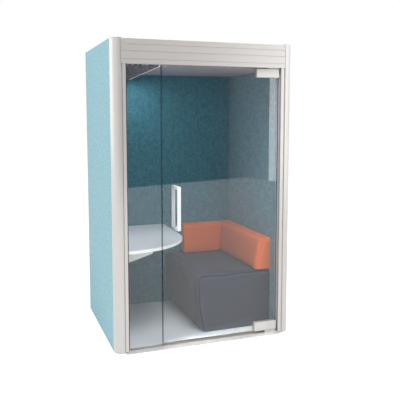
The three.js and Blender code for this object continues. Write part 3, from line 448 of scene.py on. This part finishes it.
PALE_METAL = srgb(200, 197, 194)
INNER_AQUA = srgb(66, 121, 137)
ALONG_X = (0.01, 1, 1)  # stretches that draw a texture out along an axis
ALONG_Z = (1, 1, 0.01)
FINISHES = {  # name, and what makes it with which settings
    "satin_aluminium": (satin_metal, dict(colour=PALE_METAL, stretch=ALONG_Z)),
    "satin_aluminium_across": (satin_metal, dict(colour=PALE_METAL, stretch=ALONG_X)),
    # painted light: the threshold's aluminium, made lighter than the frame's to stand in for the strong
    # light that falls on it
    "bright_aluminium": (satin_metal, dict(colour=srgb(226, 224, 222), stretch=ALONG_X)),
    "clear_glass": (clear_pane, dict(tint=(0.975, 0.985, 0.985, 1.0), edge=srgb(40, 74, 76))),
    # partly its own colour and partly painted light: the outer felt is made lighter than the inner to stand
    # in for the brighter light and grazing sheen outside
    "outer_fabric": (felt, dict(colour=srgb(125, 176, 189), contrast=0.26, sheen=0.32, fleck=(1, 0.5, 1))),
    "inner_fabric": (felt, dict(colour=INNER_AQUA, contrast=0.28, sheen=0.5, cloud=(1, 1, 0.6))),
    "side_fabric": (felt, dict(colour=INNER_AQUA, contrast=0.36, sheen=0.5,
                               cloud=(1, 0.4, 0.4), fleck=(1, 0.35, 0.6))),
    "acoustic_core": (felt, dict(colour=srgb(138, 138, 133), contrast=0.15, sheen=0.1)),
    # edge: how much lighter the painted highlight on the cloth's convex edges is
    "seat_fabric": (woven, dict(colour=srgb(47, 52, 67), contrast=0.10, thread=0.0026, sheen=0.2, edge=1.8)),
    "seat_seam": (woven, dict(colour=srgb(12, 12, 16), contrast=0.10, thread=0.0013, sheen=0.0)),
    "cushion_fabric": (woven, dict(colour=srgb(220, 106, 54), contrast=0.08, thread=0.0026, sheen=0.25,
                                   edge=1.22)),
    # the sewing is a little lighter than the cushion cloth: a slight painted highlight along it
    "cushion_seam": (woven, dict(colour=srgb(224, 110, 60), contrast=0.08, thread=0.0013, sheen=0.2)),
    "dark_felt": (speckled_felt, dict(dark=srgb(50, 45, 55), light=srgb(178, 165, 180))),
    "worktop_laminate": (laminate, dict(top=srgb(210, 212, 218), edge=srgb(252, 252, 252))),
    "white_coat": (plain_surface, dict(colour=srgb(224, 225, 226), roughness=0.35, peel_per_metre=1300,
                                       peel=0.06)),
    "floor_covering": (vinyl, dict(colour=srgb(226, 229, 234))),
    "floor_board": (plywood, dict(colour=srgb(168, 138, 104))),
    "ceiling_board": (plain_surface, dict(colour=srgb(194, 184, 190), roughness=0.7, peel_per_metre=500,
                                          peel=0.1)),
    "roof_board": (plain_surface, dict(colour=srgb(152, 154, 157), roughness=0.55, peel_per_metre=900,
                                       peel=0.08)),
    "light_diffuser": (lit_diffuser, dict(colour=srgb(245, 245, 240), strength=0.55)),
    "black_plastic": (plain_surface, dict(colour=srgb(38, 39, 42), roughness=0.5, peel_per_metre=1500,
                                          peel=0.12)),
    "seal_rubber": (plain_surface, dict(colour=srgb(52, 50, 49), roughness=0.55, peel_per_metre=700,
                                        peel=0.05)),
    "seal_rubber_brown": (plain_surface, dict(colour=srgb(128, 120, 114), roughness=0.5, peel_per_metre=700,
                                              peel=0.05)),
    "seal_rubber_clear": (clear_rubber, dict(colour=srgb(40, 44, 48), body=0.16)),
    # painted light: a pale seal colour that stands in for the light on the jamb's inner side
    "seal_rubber_pale": (plain_surface, dict(colour=srgb(176, 177, 178), roughness=0.45, peel_per_metre=700,
                                             peel=0.05)),
    "steel": (plain_surface, dict(colour=srgb(190, 190, 192), roughness=0.3, peel_per_metre=1200, peel=0.05,
                                  metallic=1.0)),
}
materials = {name: make(name, **settings) for name, (make, settings) in FINISHES.items()}
OTHER_FINISH = {  # of solids that don't have the finish of their slot
    "left_inner_panel": "side_fabric",
    "right_inner_panel": "side_fabric",
    "front_header": "satin_aluminium_across",
    # the threshold's lighter aluminium is painted light
    "front_threshold": "bright_aluminium",
    "baffle_rear_ledge": "satin_aluminium_across",
    "top_patch_outer_cover": "satin_aluminium_across",
    "top_patch_inner_cover": "satin_aluminium_across",
    "bottom_patch_outer_cover": "satin_aluminium_across",
    "bottom_patch_inner_cover": "satin_aluminium_across",
    # the jamb seal is made pale: painted light on the jamb
    "jamb_seal": "seal_rubber_pale",
    "meeting_edge_seal": "seal_rubber_clear",
    "door_sweep": "seal_rubber_brown",
}


# Pieces

def add_object(name, data):
    made = bpy.data.objects.new(name, data)
    bpy.context.scene.collection.objects.link(made)
    return made


def shade_smooth(mesh):
    mesh.polygons.foreach_set("use_smooth", [True] * len(mesh.polygons))


def set_finish(mesh, finish):
    mesh.materials.clear()
    mesh.materials.append(materials[finish])


def dress_solids():
    """Gives every solid its finish and eases its edges."""
    for name, piece in nodes.items():
        piece.material_slots[0].material = materials[OTHER_FINISH.get(name, slot_of[name])]
        mesh = piece.data
        shade_smooth(mesh)
        if "custom_normal" in mesh.attributes:
            mesh.attributes.remove(mesh.attributes["custom_normal"])
        piece.modifiers.new("joined", "WELD").merge_threshold = WELD_REACH
        bevel = piece.modifiers.new("eased", "BEVEL")
        bevel.width = EASED_EDGE
        bevel.segments = EASED_STEPS
        bevel.limit_method = "ANGLE"
        bevel.angle_limit = math.radians(EASED_ANGLE)
        shading = piece.modifiers.new("shading", "WEIGHTED_NORMAL")
        shading.keep_sharp = True


# Upholstery

@contextmanager
def editing(mesh):
    """A mesh open for editing, written back at the end."""
    work = bmesh.new()
    work.from_mesh(mesh)
    yield work
    work.to_mesh(mesh)
    work.free()


def bake_modifiers(piece):
    """Replaces a piece's mesh by what its modifiers make of it."""
    graph = bpy.context.evaluated_depsgraph_get()
    graph.update()
    made = bpy.data.meshes.new_from_object(piece.evaluated_get(graph), depsgraph=graph)
    old = piece.data
    piece.modifiers.clear()
    piece.data = made
    bpy.data.meshes.remove(old)


def copy_solid(node, name, voxel):
    """An evenly meshed, slightly smaller copy of a soft solid, which runs on through the walls behind it."""
    mesh = nodes[node].data.copy()
    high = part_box(node)[1]
    for vertex in mesh.vertices:
        for axis in (0, 1):
            if vertex.co[axis] > high[axis] - WALL_TOUCH:
                vertex.co[axis] += WALL_RUN
    piece = add_object(name, mesh)
    with editing(mesh) as work:
        bmesh.ops.remove_doubles(work, verts=work.verts, dist=WELD_REACH)
        bmesh.ops.recalc_face_normals(work, faces=work.faces)
    remesh = piece.modifiers.new("even", "REMESH")
    remesh.mode = "VOXEL"
    remesh.voxel_size = voxel
    bake_modifiers(piece)
    with editing(piece.data) as work:
        work.normal_update()
        for vertex in work.verts:
            vertex.co -= SHRINK * vertex.normal
        for _ in range(SMOOTHING_PASSES):
            bmesh.ops.smooth_vert(work, verts=work.verts, factor=SMOOTHING,
                                  use_axis_x=True, use_axis_y=True, use_axis_z=True)
    return piece


def stuff(piece, held, swell):
    """Swells a piece under pressure from inside. Points for which held is true stay where they are."""
    start = [vertex.co.copy() for vertex in piece.data.vertices]
    group = piece.vertex_groups.new(name="held")
    group.add([index for index, place in enumerate(start) if held(place)], 1.0, "REPLACE")
    cloth = piece.modifiers.new("stuffing", "CLOTH")
    for key, value in CLOTH.items():
        setattr(cloth.settings, key, value)
    cloth.settings.vertex_group_mass = group.name
    cloth.settings.effector_weights.gravity = 0
    cloth.collision_settings.use_collision = False
    cloth.point_cache.frame_start = 1
    cloth.point_cache.frame_end = SIMULATION_STEPS
    scene = bpy.context.scene
    for step in range(1, SIMULATION_STEPS + 1):
        scene.frame_set(step)
    graph = bpy.context.evaluated_depsgraph_get()
    swollen = [vertex.co.copy() for vertex in piece.evaluated_get(graph).data.vertices]
    piece.modifiers.clear()
    scene.frame_set(1)
    for vertex, old, new in zip(piece.data.vertices, start, swollen):
        move = new - old
        if move.length > swell:
            move.length = swell
        vertex.co = old + move


def finish_padding(piece, node):
    subdivision = piece.modifiers.new("smooth", "SUBSURF")
    subdivision.levels = 1
    subdivision.render_levels = 1
    bake_modifiers(piece)
    low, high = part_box(node)
    with editing(piece.data) as work:
        for direction in (ACROSS, AHEAD):
            parts = work.verts[:] + work.edges[:] + work.faces[:]
            cut = bmesh.ops.bisect_plane(work, geom=parts, plane_co=high, plane_no=direction,
                                         clear_outer=True)
            rim = [part for part in cut["geom_cut"] if isinstance(part, bmesh.types.BMEdge)]
            bmesh.ops.edgeloop_fill(work, edges=rim)
    for vertex in piece.data.vertices:
        for axis in range(3):
            vertex.co[axis] = min(max(vertex.co[axis], low[axis]), high[axis])
    shade_smooth(piece.data)
    slot = slot_of[node]
    set_finish(piece.data, slot)
    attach(piece, "shell")
    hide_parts(node)


def find_on(piece):
    """A tree that finds points on a piece's surface."""
    mesh = piece.data
    places = [vertex.co for vertex in mesh.vertices]
    return BVHTree.FromPolygons(places, [face.vertices for face in mesh.polygons])


def sewn_line(name, points, piece, finish, radius):
    """A line of sewing along points on a piece, half sunk in it."""
    curve = bpy.data.curves.new(name, "CURVE")
    curve.dimensions = "3D"
    curve.bevel_depth = radius
    curve.bevel_resolution = THREAD_RESOLUTION
    curve.use_fill_caps = True
    spline = curve.splines.new("POLY")
    spline.points.add(len(points) - 1)
    for target, place in zip(spline.points, points):
        target.co = (*place, 1.0)
    drawn = bpy.data.objects.new(name, curve)
    mesh = bpy.data.meshes.new_from_object(drawn)
    bpy.data.objects.remove(drawn)
    bpy.data.curves.remove(curve)
    line = add_object(name, mesh)
    set_finish(mesh, finish)
    line.parent = piece


def corner_arc(centre, radius):
    """Points in a plane on the upper left quarter of a circle, from its left to its top."""
    angles = [math.pi * (1 - step / SEAM_CORNER_STEPS / 2) for step in range(SEAM_CORNER_STEPS + 1)]
    return [Vector((centre.x + radius * math.cos(angle), centre.y + radius * math.sin(angle)))
            for angle in angles]


def even_steps(low, high):
    """Numbers from low to high, at most a seam's spacing apart."""
    count = max(1, math.ceil((high - low) / SEAM_SPACING))
    return [low + (high - low) * step / count for step in range(count + 1)]


def front_outline(piece, node, inset):
    """Points on a piece's front face, inset from its left and upper edges, with a round corner."""
    tree = find_on(piece)
    low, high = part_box(node)
    deep = SEAM_LOOK_DEEP * inset

    def face(across, height):
        return tree.ray_cast(Vector((across, low.y - RAY_START, height)), AHEAD)[0]

    def left_edge(height):
        behind = face((low.x + high.x) / 2, height).y + SEAM_LOOK_BEHIND * inset
        return tree.ray_cast(Vector((low.x - RAY_START, behind, height)), ACROSS)[0].x + inset

    def upper_edge(across):
        behind = face(across, high.z - deep).y + deep
        return tree.ray_cast(Vector((across, behind, high.z + RAY_START)), DOWN)[0].z - inset

    top = upper_edge(left_edge(high.z - deep) + inset)
    middle = Vector((left_edge(top - inset) + inset, top - inset))
    outline = [Vector((left_edge(height), height)) for height in even_steps(low.z + inset, middle.y)]
    outline += corner_arc(middle, inset)
    outline += [Vector((across, upper_edge(across))) for across in even_steps(middle.x, high.x - inset)]
    hits = [face(*point) for point in outline]
    return [hit for hit in hits if hit is not None]


def press_in(piece, points):
    """Draws a piece in along a line of points, as sewing does."""
    tree = KDTree(len(points))
    for index, point in enumerate(points):
        tree.insert(point, index)
    tree.balance()
    for vertex in piece.data.vertices:
        distance = tree.find(vertex.co)[2]
        if distance < SEAM_PRESS_REACH:
            vertex.co -= SEAM_PRESS * (1 - distance / SEAM_PRESS_REACH) ** 2 * vertex.normal


def round_corner(piece, node, bottom_radius, top_radius):
    """Rounds a piece's upright edge between its left and front faces, more at the bottom than at the top."""
    tree = find_on(piece)
    low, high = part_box(node)
    inside = (low + high) / 2
    for vertex in piece.data.vertices:
        place = vertex.co
        share = (place.z - low.z) / (high.z - low.z)
        radius = bottom_radius + (top_radius - bottom_radius) * share
        height = min(max(place.z, low.z + CORNER_FOOT), high.z - CORNER_HEAD)
        left = tree.ray_cast(Vector((low.x - RAY_START, inside.y, height)), ACROSS)[0].x
        front = tree.ray_cast(Vector((inside.x, low.y - RAY_START, height)), AHEAD)[0].y
        from_centre = Vector((left + radius - place.x, front + radius - place.y))
        if from_centre.x > 0 and from_centre.y > 0 and from_centre.length > radius:
            from_centre.length = radius
            place.x = left + radius - from_centre.x
            place.y = front + radius - from_centre.y


def make_padding(node, name, sewing, voxel, swell, fill, inset, thread, corner=None):
    """A stuffed piece in place of its solid, held at the floor and walls and sewn round its front face."""
    low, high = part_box(node)
    piece = copy_solid(node, name, voxel)
    if corner:
        round_corner(piece, node, *corner)
    margin = HELD_VOXELS * voxel

    def held(place):
        return place.z < low.z + margin or place.x > high.x - margin or place.y > high.y - margin

    stuff(piece, held, swell)
    for vertex in piece.data.vertices:
        vertex.co.z += RIPPLE * noise.noise(vertex.co / RIPPLE_LENGTH)
    finish_padding(piece, node)
    press_in(piece, front_outline(piece, node, inset))
    sewn_line(name + "_seam", front_outline(piece, node, inset), piece, sewing, thread)


# Thin trim

def upright_strip(name, section, bottom, top, finish):
    """An upright strip of that section, given as points in plan."""
    count = len(section)
    places = [(*point, height) for height in (bottom, top) for point in section]
    following = [(index + 1) % count for index in range(count)]
    sides = [(index, after, count + after, count + index) for index, after in enumerate(following)]
    ends = [tuple(reversed(range(count))), tuple(range(count, 2 * count))]
    mesh = bpy.data.meshes.new(name)
    mesh.from_pydata(places, [], sides + ends)
    set_finish(mesh, finish)
    strip = add_object(name, mesh)
    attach(strip, "shell")


def make_trim():
    """A gasket on the fixed pane beside its channel, and behind the door's hinge edge a pale strip of
    painted light that stands in for the light reflected from the jamb's inner side.
    """
    channel_low, channel_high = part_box("left_glazing_channel")
    glass_low, glass_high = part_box("fixed_glass")
    left = channel_high.x + TRIM_GAP
    right = left + GASKET_WIDTH
    back = glass_low.y - TRIM_GAP
    front = back - GASKET_THICKNESS
    lip = GASKET_THICKNESS / 2
    gasket = [(left, front), (right - lip, front), (right, front + lip), (right, back), (left, back)]
    upright_strip("pane_gasket", gasket, channel_low.z, channel_high.z, "seal_rubber")
    jamb_low, jamb_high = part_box("right_jamb_strip")
    outer = jamb_low.x - TRIM_GAP
    inner = outer - PALE_STRIP_THICKNESS
    start = glass_high.y + GASKET_THICKNESS
    end = jamb_high.y
    # pale strip: painted light on the jamb's inner side
    pale_strip = [(inner, start + lip), (outer, start), (outer, end), (inner, end - lip)]
    upright_strip("jamb_painted_light", pale_strip, jamb_low.z, jamb_high.z, "seal_rubber_pale")


# Studio

def make_camera():
    data = bpy.data.cameras.new("camera")
    data.lens = CAMERA_LENS
    data.shift_y = CAMERA_SHIFT
    camera = add_object("camera", data)
    camera.location = CAMERA_PLACE
    camera.rotation_euler = (math.radians(CAMERA_TILT), 0, math.radians(CAMERA_TURN))
    bpy.context.scene.camera = camera


def make_floor():
    """A pale floor that looks white and keeps the pod's shadow."""
    along = FLOOR_REACH * FLOOR_FRONT_EDGE
    back = FLOOR_REACH * FLOOR_SIDE_EDGE
    corners = [FLOOR_CORNER, FLOOR_CORNER + along, FLOOR_CORNER + along + back, FLOOR_CORNER + back]
    mesh = bpy.data.meshes.new("studio_floor")
    mesh.from_pydata([(*corner, -FLOOR_DROP) for corner in corners], [], [(3, 2, 1, 0)])
    floor = add_object("studio_floor", mesh)
    made = bpy.data.materials.new("studio_floor")
    tree = empty_tree(made)
    plain = add_node(tree, "BsdfDiffuse", {"Color": grey(FLOOR_BOUNCE)})
    shade = add_node(tree, "BsdfDiffuse", {"Color": grey(FLOOR_SHADE)})
    glow = add_node(tree, "Emission", {"Strength": FLOOR_GLOW})
    white = add_node(tree, "AddShader")
    tree.links.new(shade.outputs["BSDF"], white.inputs[0])
    tree.links.new(glow.outputs["Emission"], white.inputs[1])
    mirrored = add_node(tree, "Emission", {"Strength": FLOOR_MIRRORED})
    whole = by_ray(tree, plain.outputs["BSDF"], white.outputs["Shader"], mirrored.outputs["Emission"])
    tree.links.new(whole, add_node(tree, "OutputMaterial").inputs["Surface"])
    mesh.materials.append(made)


def horizon_level(tree, angle, height):
    """Brightness of the room in reflections, by the angle round the pod and the height of the sight."""
    turn = add_node(tree, "MapRange", {"From Min": -math.pi, "From Max": math.pi})
    tree.links.new(angle, turn.inputs["Value"])
    ramp = add_node(tree, "ValToRGB")
    elements = ramp.color_ramp.elements
    while len(elements) > 1:
        elements.remove(elements[-1])
    for index, (degrees, level) in enumerate(HORIZON):
        position = (degrees + 180) / 360
        element = elements[0] if index == 0 else elements.new(position)
        element.position = position
        element.color = grey(level / HORIZON_SCALE)
    tree.links.new(turn.outputs["Result"], ramp.inputs["Fac"])
    after = math_node(tree, "GREATER_THAN", angle, math.radians(WINDOW_START))
    before = math_node(tree, "LESS_THAN", angle, math.radians(WINDOW_END))
    under = math_node(tree, "LESS_THAN", height, math.sin(math.radians(WINDOW_TOP)))
    between = math_node(tree, "MULTIPLY", math_node(tree, "MULTIPLY", after, before), under)
    window = math_node(tree, "MULTIPLY", between, WINDOW_LEVEL)
    return math_node(tree, "MULTIPLY_ADD", ramp.outputs["Color"], HORIZON_SCALE, window)


def make_world():
    """White behind the pod, even light around it, and a dark room with bright sides in its reflections."""
    world = bpy.data.worlds.new("studio")
    bpy.context.scene.world = world
    tree = empty_tree(world)
    split = add_node(tree, "SeparateXYZ")
    tree.links.new(add_node(tree, "TexCoord").outputs["Generated"], split.inputs["Vector"])
    ahead = math_node(tree, "MULTIPLY", split.outputs["Y"], -1.0)
    angle = math_node(tree, "ARCTAN2", split.outputs["X"], ahead)
    room = add_node(tree, "Background", {"Color": WHITE})
    tree.links.new(horizon_level(tree, angle, split.outputs["Z"]), room.inputs["Strength"])
    soft = add_node(tree, "Background", {"Color": WHITE, "Strength": AMBIENT})
    white = add_node(tree, "Background", {"Color": WHITE, "Strength": 1.0})
    whole = by_ray(tree, *(shader.outputs["Background"] for shader in (soft, white, room)))
    tree.links.new(whole, add_node(tree, "OutputWorld").inputs["Surface"])


def make_lamp(name, place, target, size, power):
    """A rectangular lamp that neither the camera nor polished surfaces see."""
    data = bpy.data.lights.new(name, "AREA")
    data.shape = "RECTANGLE"
    data.size, data.size_y = size
    data.energy = power
    lamp = add_object(name, data)
    lamp.location = place
    lamp.rotation_euler = (Vector(target) - Vector(place)).to_track_quat("-Z", "Y").to_euler()
    lamp.visible_glossy = False
    lamp.visible_camera = False
    return lamp


def make_graze():
    """A narrow beam from the front onto the doorway's floor, whose rear edge runs slantwise across it."""
    turn = math.radians(GRAZE_TURN)
    rise = math.radians(GRAZE_RISE)
    towards = Vector((-math.sin(turn) * math.cos(rise), math.cos(turn) * math.cos(rise), -math.sin(rise)))
    target = Vector(GRAZE_PLACE)
    lamp = make_lamp("graze_lamp", target - GRAZE_DISTANCE * towards, target, GRAZE_SIZE, GRAZE_POWER)
    lamp.data.spread = math.radians(GRAZE_SPREAD)
    along = Vector((math.cos(turn), math.sin(turn), 0))
    lamp.rotation_euler = Matrix((along, -towards.cross(along), -towards)).transposed().to_euler()


def make_studio():
    make_camera()
    make_floor()
    make_world()
    for lamp in LAMPS:
        make_lamp(*lamp)
    low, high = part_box("light_strip")
    middle = (low + high) / 2
    under = (middle.x, middle.y, low.z - STRIP_DROP)
    make_lamp("strip_lamp", under, (middle.x + STRIP_LEAN, middle.y, 0), STRIP_SIZE, STRIP_POWER)
    make_graze()


make_studio()
dress_solids()
make_padding("seat_block", "bench_seat", "seat_seam", **SEAT_FORM)
make_padding("right_back_cushion", "right_cushion", "cushion_seam", **CUSHION_FORM, corner=CUSHION_CORNER)
make_padding("rear_back_cushion", "rear_cushion", "cushion_seam", **CUSHION_FORM)
make_trim()

bpy.context.scene.view_settings.view_transform = "Standard"
bpy.context.view_layer.update()
